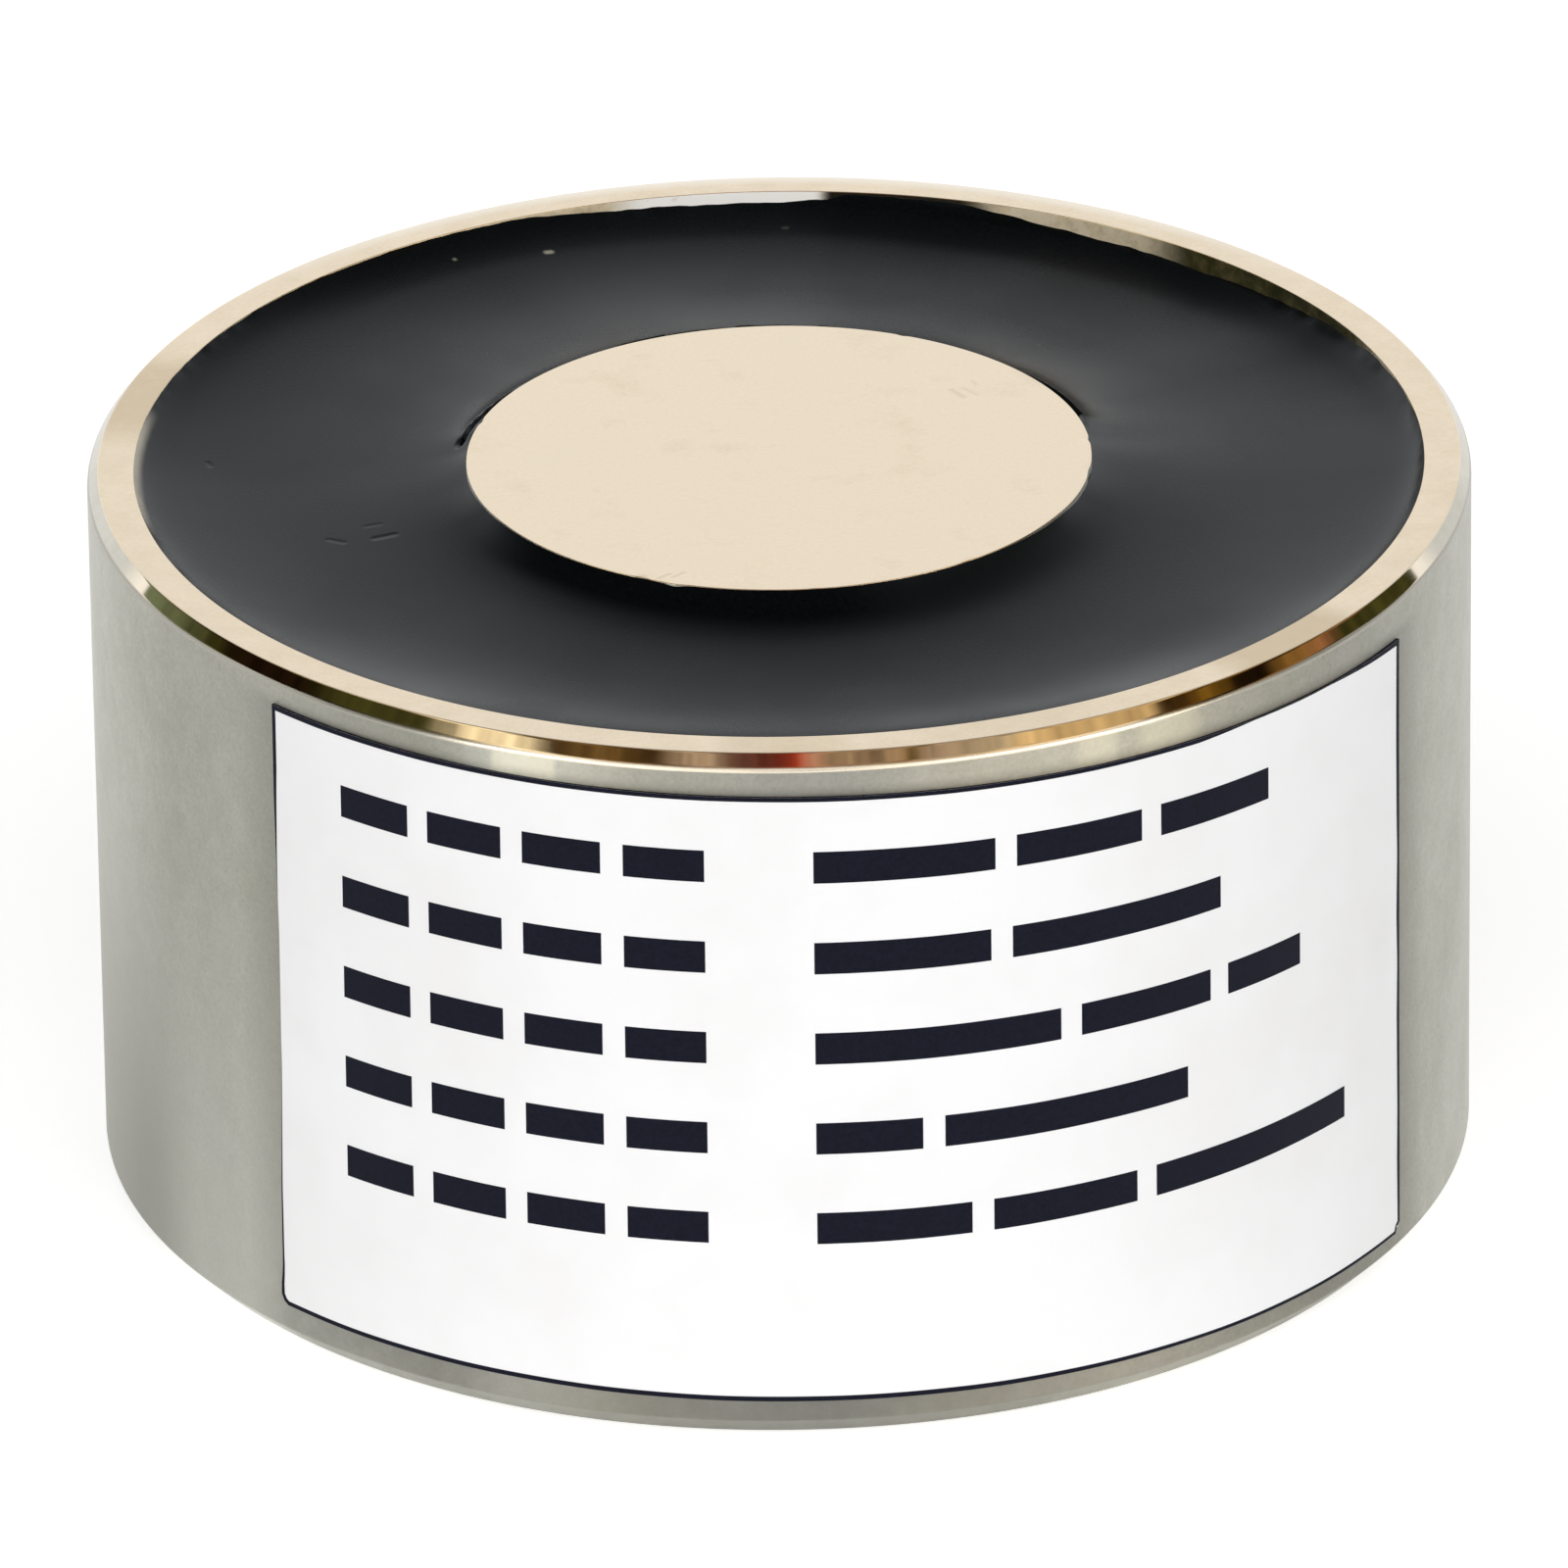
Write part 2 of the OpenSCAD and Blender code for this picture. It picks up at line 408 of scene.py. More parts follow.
def nickel_face(name="nickel_face", rim=False):
    m = Mat(name, (0.84, 0.73, 0.57), 0.2, 1.0)
    cloud = m.noise(3.0, 4, 0.6)
    grain = m.noise(0.18, 2, 0.7)
    tone = m.ramp(cloud, [(0.28, (0.8, 0.68, 0.51)), (0.45, (0.87, 0.745, 0.57)), (0.7, (0.9, 0.775, 0.6))])
    tone = m.mix(0.35, tone, m.ramp(grain, [(0.32, 0.4), (0.68, 0.6)]), "OVERLAY")
    marks = m.noise(1.6, 5, 0.75)
    tone = m.mix(m.span(marks, 0.66, 0.76, 0.0, 0.3), tone, (0.62, 0.52, 0.38))
    if rim:
        # The rim is duller than the pole, with tarnish in a few places and a pale worn edge at the back
        patch = m.noise(1.3, 4, 0.7)
        dull = m.math("MULTIPLY", m.span(patch, 0.35, 0.65, 0.2, 1), 0.3)
        for place, spread, weight in ((166, 11, 0.85), (318, 9, 1.05), (270, 7, 0.4), (290, 10, 0.2)):
            near = m.span(m.facing(place, m.radius()), cos_deg(spread), 1, 0, weight, True)
            dull = m.math("ADD", dull, near)
        tone = m.mix(m.math("MINIMUM", dull, 1.3), tone, (0.66, 0.54, 0.375))
        behind = m.span(m.math("DIVIDE", m.along(AWAY), POT_R * MM), 0.5, 0.9, 0, 1, True)
        outer = m.span(m.radius(), (POT_R - 1.2) * MM, (POT_R - 0.4) * MM, 0, 0.8, True)
        pale = m.math("MULTIPLY", behind, outer)
        tone = m.mix(pale, tone, (0.95, 0.9, 0.8))
    else:
        # Scuffs at the back on the right, and by the nick at the front
        scuff = m.strokes([
            ((6.3, 5.5), (6.75, 4.85), 0.2, 0.8),
            ((6.75, 5.6), (7.2, 5.1), 0.2, 0.55),
            ((7.1, 6.2), (7.2, 5.9), 0.18, 0.5),
            ((-4.35, -10.2), (-3.95, -9.85), 0.16, 0.8),
            ((-3.85, -10.15), (-3.45, -9.75), 0.14, 0.7),
        ])
        tone = m.mix(m.math("MULTIPLY", scuff, 0.45), tone, (0.55, 0.48, 0.36))
    m.to("Base Color", tone)
    m.to("Roughness", m.span(cloud, 0.3, 0.7, 0.17, 0.24))
    scratch = m.noise(0.12, 2, 0.6, m.stretch((0.06, 1.6, 1.0)))
    m.bump(m.math("ADD", grain, m.math("MULTIPLY", scratch, 0.5)), 0.003, 0.3)
    return m.mat


def nickel_bright():
    m = Mat("nickel_bright", (0.82, 0.73, 0.59), 0.05, 1.0)
    cloud = m.noise(1.5, 3, 0.6)
    # Painted highlight and shade: where the chamfer and its rounded edge face the picture's front they get a
    # bright cream tone, elsewhere a grey shaded tone; the front of the chamfer is also smoother.
    front = m.math("DIVIDE", m.along(AWAY), -POT_R * MM)
    painted_light_and_polish = m.span(front, 0.3, 0.4, 0, 1, True)
    bright = m.ramp(cloud, [(0.3, (0.78, 0.69, 0.55)), (0.7, (0.86, 0.77, 0.63))])
    shaded_tone = m.ramp(cloud, [(0.3, (0.54, 0.52, 0.45)), (0.7, (0.64, 0.62, 0.55))])
    tone = m.mix(painted_light_and_polish, shaded_tone, bright)
    # Painted shade: the rounded edge under the chamfer is darker away from the front.
    rolled = m.span(m.along((0, 0, 1)), (POT_H - 0.46) * MM, (POT_H - 0.38) * MM, 0, 1, True)
    aside = m.span(m.facing(273, POT_R * MM), cos_deg(35), cos_deg(25), 1, 0, True)
    painted_light_patch = m.math("MULTIPLY", aside, m.math("SUBTRACT", 1.0, rolled))
    m.to("Base Color", m.mix(painted_light_patch, tone, (0.36, 0.345, 0.3)))
    polish = m.math("MULTIPLY", m.math("MULTIPLY", painted_light_and_polish, rolled), 0.22)
    m.to("Roughness", m.math("SUBTRACT", m.span(cloud, 0.3, 0.7, 0.25, 0.29), polish))
    m.bump(m.noise(0.6, 3, 0.6), 0.001, 0.25)
    return m.mat


def nickel_inner():
    m = Mat("nickel_inner", (0.55, 0.5, 0.4), 0.3, 1.0)
    stain = m.noise(0.8, 4, 0.7)
    side = m.math("DIVIDE", m.along(RIGHT), BORE_R * MM)
    back = m.math("GREATER_THAN", m.along(AWAY), 0.0)
    olive, moss, brown = (0.025, 0.023, 0.004), (0.055, 0.05, 0.014), (0.15, 0.12, 0.05)
    tarnish = m.ramp(stain, [(0.34, olive), (0.5, moss), (0.7, brown)])
    clean = m.ramp(stain, [(0.34, (0.68, 0.57, 0.37)), (0.5, (0.88, 0.75, 0.53)), (0.66, (0.95, 0.84, 0.64))])
    stained = m.math("MULTIPLY", m.span(side, 0.57, 0.66, 0, 1, True), m.span(side, 0.9, 0.96, 1, 0, True))
    tone = m.mix(stained, clean, tarnish)
    # Painted shade: a band of the wall a little right of the middle, at the back and the front, is near
    # black, which also lowers its metallic value.
    dark = m.math("MULTIPLY", m.span(side, 0.06, 0.09, 0, 1, True), m.span(side, 0.29, 0.37, 1, 0, True))
    tone = m.mix(m.math("MULTIPLY", dark, 0.95), tone, (0.015, 0.013, 0.01))
    # Painted highlight: a near-white strip on the wall at the back, which is also less metallic.
    painted_light_patch = m.math("MULTIPLY", m.span(side, -0.29, -0.2, 0, 1, True), m.span(side, 0.06, 0.09, 1, 0, True))
    painted_light_patch = m.math("MULTIPLY", m.math("MULTIPLY", painted_light_patch, back), m.span(stain, 0.28, 0.42, 0, 1))
    m.to("Base Color", m.mix(painted_light_patch, tone, (0.97, 0.95, 0.9)))
    plated = m.math("ADD", m.math("MULTIPLY", dark, 0.5), 0.5)
    m.to("Metallic", m.math("SUBTRACT", plated, m.math("MULTIPLY", painted_light_patch, 0.5)))
    m.to("Roughness", m.span(stain, 0.3, 0.7, 0.5, 0.3))
    m.bump(stain, 0.02, 0.6)
    return m.mat


def nickel_base():
    m = Mat("nickel_base", (0.55, 0.545, 0.5), 0.3, 1.0)
    blotch = m.noise(6.0, 4, 0.6)
    ring = m.rings(0.35, distortion=0.6, detail=2.0, detail_scale=2.0)
    tone = m.ramp(blotch, [(0.3, (0.5, 0.495, 0.45)), (0.7, (0.6, 0.59, 0.54))])
    m.to("Base Color", m.mix(0.15, tone, m.ramp(ring, [(0.0, 0.3), (1.0, 0.7)]), "OVERLAY"))
    m.to("Roughness", m.span(blotch, 0.3, 0.7, 0.26, 0.36))
    m.bump(ring, 0.006, 0.5)
    return m.mat


def black_resin():
    m = Mat("black_resin", (0.002, 0.0023, 0.0027), 0.27, 0.0, 0.152)
    cloud = m.noise(6.0, 3, 0.5)
    grain = m.noise(0.14, 3, 0.7)
    tone = m.ramp(grain, [(0.3, (0.001, 0.0012, 0.0014)), (0.7, (0.003, 0.0034, 0.004))])
    # A painted highlight in pale grey along the wall on the left, and a few pale specks at the back
    left = m.span(m.facing(181, m.radius()), cos_deg(14), cos_deg(6), 0, 1, True)
    painted_highlight = m.math("MULTIPLY", left, m.span(m.radius(), (BORE_R - 0.38) * MM, BORE_R * MM, 0, 1, True))
    tone = m.mix(painted_highlight, tone, (0.56, 0.52, 0.43))
    specks = m.strokes([
        ((-8.5, 19.75), (-8.35, 19.8), 0.2, 0.7),
        ((-11.9, 18.8), (-11.9, 18.8), 0.14, 0.4),
        ((0.3, 22.0), (0.4, 22.0), 0.16, 0.08),
    ])
    tone = m.mix(specks, tone, (0.5, 0.46, 0.38))
    m.to("Base Color", tone)
    # The surface is matt just in front of the pole
    matt = m.span(m.along(bearing(268)), 0.3 * CORE_R * MM, 0.7 * CORE_R * MM, 0, 0.25, True)
    matt = m.math("MULTIPLY", matt, m.span(m.radius(), (CORE_R + 0.7) * MM, (CORE_R + 2.2) * MM, 1, 0, True))
    uneven = m.math("ADD", cloud, m.math("MULTIPLY", grain, 0.3))
    m.to("Roughness", m.math("ADD", matt, m.span(uneven, 0.45, 0.85, 0.22, 0.32)))
    m.to("Specular Tint", (0.6, 0.8, 1.0, 1))
    # Its gloss is raised along the front of the rim as a painted sheen, and lowered as painted shade in the
    # gap, at the back by the rim and before the pole
    near = m.span(m.along(bearing(278)), 0.5 * BORE_R * MM, 0.85 * BORE_R * MM, 0, 0.09, True)
    near = m.math("MULTIPLY", near, m.span(m.radius(), 18.5 * MM, 21.5 * MM, 0, 1, True))
    groove = m.span(m.facing(70, CORE_R * MM), 0.66, 0.76, 0, 0.9, True)
    close = m.span(m.radius(), (CORE_R + 0.2) * MM, (CORE_R + 0.36) * MM, 1, 0, True)
    groove = m.math("MULTIPLY", groove, close)
    edge = m.span(m.math("DIVIDE", m.along(AWAY), BORE_R * MM), 0.5, 0.75, 0, 0.5, True)
    edge = m.math("MULTIPLY", edge, m.span(m.radius(), (BORE_R - 2.3) * MM, (BORE_R - 1.4) * MM, 0, 1, True))
    shade = m.span(m.facing(250, m.radius()), 0.7, 0.9, 0, 0.85, True)
    round_pole = m.span(m.radius(), (CORE_R + 0.6) * MM, (CORE_R + 1.5) * MM, 1, 0, True)
    shade = m.math("MULTIPLY", shade, round_pole)
    hidden = m.math("MAXIMUM", m.math("MAXIMUM", groove, shade), edge)
    open_gloss = m.math("ADD", near, 0.158)
    m.to("Specular IOR Level", m.math("MULTIPLY", open_gloss, m.math("SUBTRACT", 1.0, hidden)))
    # A broken scratch and a pit on the left
    dents = m.strokes([
        ((-16.2, -4.35), (-15.7, -4.6), 0.22, 0.8),
        ((-14.55, -4.4), (-13.85, -4.2), 0.24, 1.0),
        ((-14.9, -3.4), (-14.4, -3.3), 0.2, 0.5),
        ((-20.66, 1.8), (-20.6, 1.6), 0.2, 1.0),
    ])
    swell = m.math("ADD", grain, m.math("MULTIPLY", cloud, 1.5))
    m.bump(m.math("SUBTRACT", swell, m.math("MULTIPLY", dents, 4.5)), 0.008, 0.45)
    return m.mat


def label_paper():
    m = Mat("label_paper", (0.92, 0.92, 0.925), 0.45, 0.0, 0.3)
    fibre = m.noise(0.25, 4, 0.7)
    cloud = m.noise(8.0, 3, 0.6)
    tone = m.ramp(cloud, [(0.3, (0.9, 0.89, 0.89)), (0.55, (0.94, 0.94, 0.945)), (0.7, (0.95, 0.95, 0.96))])
    m.to("Base Color", m.mix(0.12, tone, m.ramp(fibre, [(0.3, 0.4), (0.7, 0.6)]), "OVERLAY"))
    m.to("Roughness", m.span(fibre, 0.3, 0.7, 0.4, 0.52))
    m.bump(m.math("ADD", fibre, m.math("MULTIPLY", cloud, 6.0)), 0.004, 0.4)
    return m.mat


def label_ink():
    m = Mat("label_ink", (0.006, 0.007, 0.015), 0.55, 0.0, 0.1)
    wear = m.noise(0.18, 3, 0.7)
    m.to("Base Color", m.ramp(wear, [(0.3, (0.002, 0.0026, 0.008)), (0.72, (0.007, 0.008, 0.02))]))
    m.to("Roughness", m.span(wear, 0.3, 0.7, 0.48, 0.62))
    m.bump(wear, 0.003, 0.4)
    return m.mat


def plain(name, low, high, rough, size_mm, bump_mm, metallic=0.0, specular=0.5):
    m = Mat(name, low, rough, metallic, specular)
    cloud = m.noise(size_mm, 4, 0.6)
    m.to("Base Color", m.ramp(cloud, [(0.3, low), (0.7, high)]))
    m.to("Roughness", m.span(cloud, 0.3, 0.7, rough - 0.06, rough + 0.06))
    m.bump(cloud, bump_mm, 0.4)
    return m.mat


def copper_wire():
    m = Mat("copper_wire", (0.55, 0.22, 0.09), 0.28, 1.0)
    turns = m.rings(0.33, "BANDS", "Z", 0.4, 1.0, 3.0)
    tone = m.ramp(turns, [(0.0, (0.2, 0.06, 0.02)), (0.5, (0.62, 0.27, 0.11)), (1.0, (0.8, 0.4, 0.2))])
    m.to("Base Color", tone)
    m.to("Roughness", m.span(turns, 0, 1, 0.4, 0.24))
    m.bump(turns, 0.12, 0.8)
    return m.mat


SIDE, FACE, BRIGHT, INNER, BASE = range(5)
pole_metal = [nickel_side(), nickel_face(), nickel_bright(), nickel_inner(), nickel_base()]
pot_metal = [pole_metal[SIDE], nickel_face("nickel_rim", rim=True)] + pole_metal[BRIGHT:]
resin_mat = black_resin()
paper_mat = label_paper()
ink_mat = label_ink()


# Pot: turned cup with small radii on its edges and the countersunk lead outlet

points, mats = rounded([
    (SPIGOT_R + SWAGE, 0.0, 0.04, BASE),
    (POT_R - FOOT_CHAMFER, 0.0, 0.15, SIDE),
    (POT_R, FOOT_CHAMFER, 0.15, SIDE),
    (POT_R, POT_H - CHAMFER_H, 0.3, BRIGHT),
    (POT_R - CHAMFER_W, POT_H, 0.05, FACE),
    (BORE_R + EDGE_BREAK, POT_H, 0.01, FACE),
    (BORE_R, POT_H - EDGE_BREAK, 0.01, INNER),
    (BORE_R, BASE_T + CAVITY_CORNER, 0.0, INNER),
    (BORE_R - CAVITY_CORNER, BASE_T, 0.0, INNER),
    (SPIGOT_R, BASE_T, 0.0, INNER),
    (SPIGOT_R, SWAGE, 0.0, INNER),
])
verts, faces, indices = lathe(points, mats, 360)
shell = mesh_object("shell", verts, faces, pot_metal, indices)
drilled(shell, [
    cone_along_y("outlet_hole", 15.0, OUTLET_R, 30.0, OUTLET_R),
    cone_along_y("outlet_sink", POT_R - 0.25, OUTLET_R - 0.1, POT_R + 0.25, OUTLET_R + 0.4),
])
shell.data.set_sharp_from_angle(angle=math.radians(35))
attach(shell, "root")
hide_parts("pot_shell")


# Pole: riveted core with a nicked edge and the tapped hole

tip = THREAD_R / math.tan(DRILL_HALF_ANGLE)
points, mats = rounded([
    (THREAD_R, THREAD_DEPTH, 0.0, BASE),
    (THREAD_R, THREAD_MOUTH, 0.05, BASE),
    (THREAD_R + THREAD_MOUTH, 0.0, 0.05, BASE),
    (SPIGOT_R + SWAGE, 0.0, 0.05, BASE),
    (SPIGOT_R, SWAGE, 0.0, BASE),
    (SPIGOT_R, BASE_T, 0.0, BASE),
    (CORE_R, BASE_T, 0.0, SIDE),
    (CORE_R, POT_H - EDGE_BREAK, 0.01, FACE),
    (CORE_R - EDGE_BREAK, POT_H, 0.01, FACE),
    (CORE_R - 0.2, POT_H, 0.0, FACE),
    (CORE_R - 0.35, POT_H, 0.0, FACE),
    (CORE_R - 0.6, POT_H, 0.0, FACE),
    (CORE_R - 1.2, POT_H, 0.0, FACE),
    (8.0, POT_H, 0.0, FACE),
    (4.0, POT_H, 0.0, FACE),
])
points = [(0.0, THREAD_DEPTH + tip)] + list(points) + [(0.0, POT_H)]
mats = [BASE] + mats + [FACE]
verts, faces, indices = lathe(points, mats, 720, closed=False)
radius = np.hypot(verts[:, 0], verts[:, 1])
seen = np.degrees(np.arctan2(verts[:, 1], verts[:, 0])) + math.degrees(TURN)
edge = np.clip((radius - CORE_R + 0.4) / 0.36, 0, 1) ** 2 * (verts[:, 2] > POT_H - 0.5)
# Nicks in the pole's edge: angle seen, half width in degrees and depth
NICKS = (
    (244.2, 1.3, 0.08), (250.5, 2.0, -0.05), (306.5, 1.5, 0.04), (352.0, 2.2, 0.05), (5.5, 1.1, 0.05),
    (163.0, 1.2, 0.05), (66.0, 0.9, 0.04), (276.0, 1.2, 0.03),
)
for place, width, depth in NICKS:
    apart = (seen - place + 180) % 360 - 180
    dent = np.exp(-(apart / width) ** 2) * depth * edge
    verts[:, 2] -= np.maximum(dent, 0) * 0.15
    shrink = 1 - dent / np.maximum(radius, 1e-6)
    verts[:, 0] *= shrink
    verts[:, 1] *= shrink
core = mesh_object("core", verts, faces, pole_metal, indices)
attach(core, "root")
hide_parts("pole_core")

# Ridges of the M5 thread, one helix
per_turn = 64
count = int((THREAD_DEPTH - 1.4) / THREAD_PITCH * per_turn)
verts, faces = [], []
for i in range(count + 1):
    a = 2 * math.pi * i / per_turn
    z = 0.9 + THREAD_PITCH * i / per_turn
    fade = min(1.0, i / 40, (count - i) / 40)
    for dr, dz in ((0.02, -0.34), (-0.41 * fade, -0.06), (-0.41 * fade, 0.06), (0.02, 0.34)):
        verts.append(((THREAD_R + dr) * math.cos(a), (THREAD_R + dr) * math.sin(a), z + dz))
for i in range(count):
    for j in range(4):
        k = (j + 1) % 4
        faces.append((4 * i + j, 4 * i + k, 4 * i + 4 + k, 4 * i + 4 + j))
faces.append((0, 1, 2, 3))
faces.append(tuple(4 * count + j for j in (3, 2, 1, 0)))
thread = mesh_object("thread", verts, faces, [pole_metal[BASE]])
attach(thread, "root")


# Resin: hollow ring of cast surface with a ragged edge at the rim and a shrinkage gap behind the pole

RING_N, RADIAL_N = 720, 84
u = np.linspace(-1, 1, RADIAL_N)
t = np.sign(u) * (1 - (1 - np.abs(u)) ** 1.5)
mid, half = (BORE_R + CORE_R) / 2, (BORE_R - CORE_R) / 2
grid_r = mid + half * t
grid_a = np.linspace(0, 2 * np.pi, RING_N, endpoint=False)
r, a = np.meshgrid(grid_r, grid_a)
tt = np.broadcast_to(t, r.shape)
seen = np.degrees(a) + math.degrees(TURN)

# Depth under the pole face at the rim, at the pole and in between, and the curves that join them
rim_drop = round_table(seen, [
    (0, 0.06), (10, 0.09), (20, 0.18), (30, 0.42), (40, 0.66), (48, 0.72), (58, 0.66), (64, 0.56),
    (69, 0.34), (73, 0.14), (83, 0.12), (86, 0.36), (90, 0.46), (96, 0.44), (104, 0.36), (110, 0.22),
    (116, 0.05), (128, 0.05), (140, 0.03), (147, 0.02), (156, 0.03), (170, 0.02), (195, 0.04),
    (205, 0.1), (240, 0.2), (270, 0.25), (310, 0.25), (340, 0.15),
])
core_drop = round_table(seen, [
    (0, 0.34), (10, 0.32), (16, 0.24), (22, 0.14), (40, 0.1), (60, 0.06), (90, 0.03), (140, 0.04),
    (165, 0.06), (174, 0.2), (186, 0.26), (200, 0.12), (212, 0.04), (270, 0.02), (310, 0.03),
    (330, 0.12), (345, 0.26),
])
floor_drop = round_table(seen, [
    (0, 1.2), (30, 1.38), (50, 1.46), (70, 1.4), (90, 1.25), (120, 1.04), (150, 0.97), (180, 1.05),
    (225, 1.2), (270, 1.25), (315, 1.22),
]) + waves(a, 6, 2, 5, 0.012)
rim_bowl = round_table(seen, [
    (0, 0.56), (14, 0.48), (28, 0.37), (42, 0.31), (58, 0.4), (74, 0.5), (90, 0.55), (130, 0.66),
    (180, 0.63), (210, 0.74), (240, 0.84), (270, 0.88), (300, 0.84), (330, 0.7),
])
rim_power = round_table(seen, [
    (0, 2.0), (30, 2.2), (60, 2.4), (90, 2.3), (120, 1.95), (150, 2.0), (210, 2.0), (240, 2.1),
    (270, 2.4), (300, 2.6), (330, 2.3),
])
core_bowl = round_table(seen, [
    (0, 0.58), (12, 0.68), (22, 0.82), (40, 0.84), (60, 0.86), (90, 0.62), (120, 0.6), (150, 0.6),
    (180, 0.52), (220, 0.42), (270, 0.4), (320, 0.42),
])
core_power = round_table(seen, [
    (0, 1.8), (30, 2.2), (60, 2.2), (90, 1.8), (120, 2.0), (150, 2.3), (180, 1.9), (270, 1.7),
])
rim_creep = np.maximum(floor_drop - rim_drop - rim_bowl, 0.05)
core_creep = np.maximum(floor_drop - core_drop - core_bowl, 0.1)
lip = round_table(seen, [
    (0, 0.0), (10, 0.0), (21, 0.3), (28, 0.4), (45, 0.38), (60, 0.28), (75, 0.22), (90, 0.3),
    (105, 0.36), (116, 0.3), (128, 0.1), (138, 0.08), (150, 0.2), (163, 0.3), (174, 0.0), (300, 0.0),
])
gap = round_table(seen, [
    (0, 0.0), (17.5, 0.0), (20.5, 0.46), (30, 0.5), (45, 0.42), (60, 0.28), (75, 0.2), (90, 0.3),
    (105, 0.36), (116, 0.3), (124, 0.0), (300, 0.0),
])
off_rim, off_core = BORE_R - r, r - CORE_R
bowl = np.where(tt > 0, rim_bowl * np.abs(tt) ** rim_power, core_bowl * np.abs(tt) ** core_power)
reach = round_table(seen, [
    (0, 0.75), (20, 0.55), (90, 0.5), (165, 0.55), (185, 0.75), (215, 0.72), (240, 0.62), (270, 0.55),
    (300, 0.55), (330, 0.75),
])
z = POT_H - floor_drop + bowl + rim_creep * np.exp(-off_rim / 0.5)
z = z + core_creep * np.exp(-np.maximum(off_core - lip, 0) / reach)
ragged = waves(a, 3, 12, 60, 0.024) + waves(a, 4, 80, 170, 0.01)
z = z + ragged * np.exp(-(off_rim / 0.22) ** 2)
z = z + waves(a + 0.11 * r, 7, 2, 6, 0.006) * (1 - np.abs(tt))
z = z - np.clip(1 - off_core / np.maximum(gap, 0.01), 0, 1) ** 0.3 * np.minimum(gap * 3, 1.0)
crack = round_table(seen, [
    (0, 0.0), (147, 0.0), (151, 0.7), (160, 1.0), (168, 1.0), (171, 0.0), (300, 0.0),
])
crack_off = round_table(seen, [
    (0, 0.04), (147, 0.04), (152, 0.1), (158, 0.2), (164, 0.32), (171, 0.46), (300, 0.46),
])
z = z - crack * 0.28 * np.exp(-((off_core - crack_off) / 0.1) ** 2)
z = np.minimum(z, POT_H - 0.01)

under = [(CORE_R, BOBBIN_TOP), (FLANGE_R, BOBBIN_TOP), (FLANGE_R, WINDOW_TOP), (TAPE_R, WINDOW_TOP),
         (TAPE_R, WINDOW_FOOT), (FLANGE_R, WINDOW_FOOT), (FLANGE_R, BASE_T),
         (BORE_R - CAVITY_CORNER, BASE_T), (BORE_R, BASE_T + CAVITY_CORNER), (BORE_R, 15.0)]
top = np.stack([np.c_[grid_r * math.cos(b), grid_r * math.sin(b), z[i]] for i, b in enumerate(grid_a)])
bottom = np.stack([[(p * math.cos(b), p * math.sin(b), q) for p, q in under] for b in grid_a])
loop = np.concatenate([top[:, ::-1], bottom], axis=1)
width = loop.shape[1]
verts = loop.reshape(-1, 3)
faces = []
for i in range(RING_N):
    j = (i + 1) % RING_N
    for k in range(width):
        n = (k + 1) % width
        faces.append((i * width + k, j * width + k, j * width + n, i * width + n))
resin = mesh_object("resin", verts, faces, [resin_mat], sharp=50)
drilled(resin, [cone_along_y("bush_pocket", BUSH_FOOT_Y, OUTLET_R + 0.01, 30.0, OUTLET_R + 0.01)])
resin.data.set_sharp_from_angle(angle=math.radians(50))
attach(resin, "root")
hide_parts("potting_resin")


# Label: thin curved sheet, a little askew, with a printed border and plain bars of ink

# Corners of the label, unrolled: along the wall from its middle, and height over the floor.
LEFT_X, RIGHT_X = (-23.75, -23.58), (23.42, 23.28)
FOOT_Z, HEAD_Z = (1.8, 1.4), (25.72, 25.14)
LABEL_W, LABEL_H = 47.1, 24.0
INK_LIFT = 0.006


def on_wall(u, v, lift, dx=0.0, dz=0.0):
    """A point of the label: u from its left edge to its right, v from foot to head, both 0 to 1."""
    x0 = LEFT_X[0] * (1 - v) + LEFT_X[1] * v
    x1 = RIGHT_X[0] * (1 - v) + RIGHT_X[1] * v
    z0 = FOOT_Z[0] * (1 - u) + FOOT_Z[1] * u
    z1 = HEAD_Z[0] * (1 - u) + HEAD_Z[1] * u
    b = -math.pi / 2 + (x0 * (1 - u) + x1 * u + dx) / POT_R
    return ((POT_R + lift) * math.cos(b), (POT_R + lift) * math.sin(b), z0 * (1 - v) + z1 * v + dz)


def paper_lift(u, v):
    """Height of the paper over the wall: it lies close, with a few soft waves and lifted edges."""
    x, y = (u - 0.5) * LABEL_W, (v - 0.5) * LABEL_H
    wave = 0.008 * math.sin(0.55 * x + 0.3 * y) * math.sin(0.21 * y + 1.0)
    wave += 0.005 * math.sin(1.3 * x - 0.2 * y)
    side = max(0.0, abs(2 * u - 1) - 0.94) / 0.06
    end = max(0.0, abs(2 * v - 1) - 0.94) / 0.06
    return 0.085 + wave + 0.012 * side * side + 0.008 * end * end


def rubbed_back(u, v):
    """How far the paper's left edge is trimmed and rubbed back at this place, in millimetres."""
    heights = (0, 0.03, 0.06, 0.2, 0.3, 0.4, 0.62, 0.75, 0.85, 1)
    depths = (0.02, 0.02, 0.11, 0.13, 0.2, 0.26, 0.28, 0.2, 0.14, 0.13)
    return np.interp(v, heights, depths) * max(0.0, 1 - u) ** 60


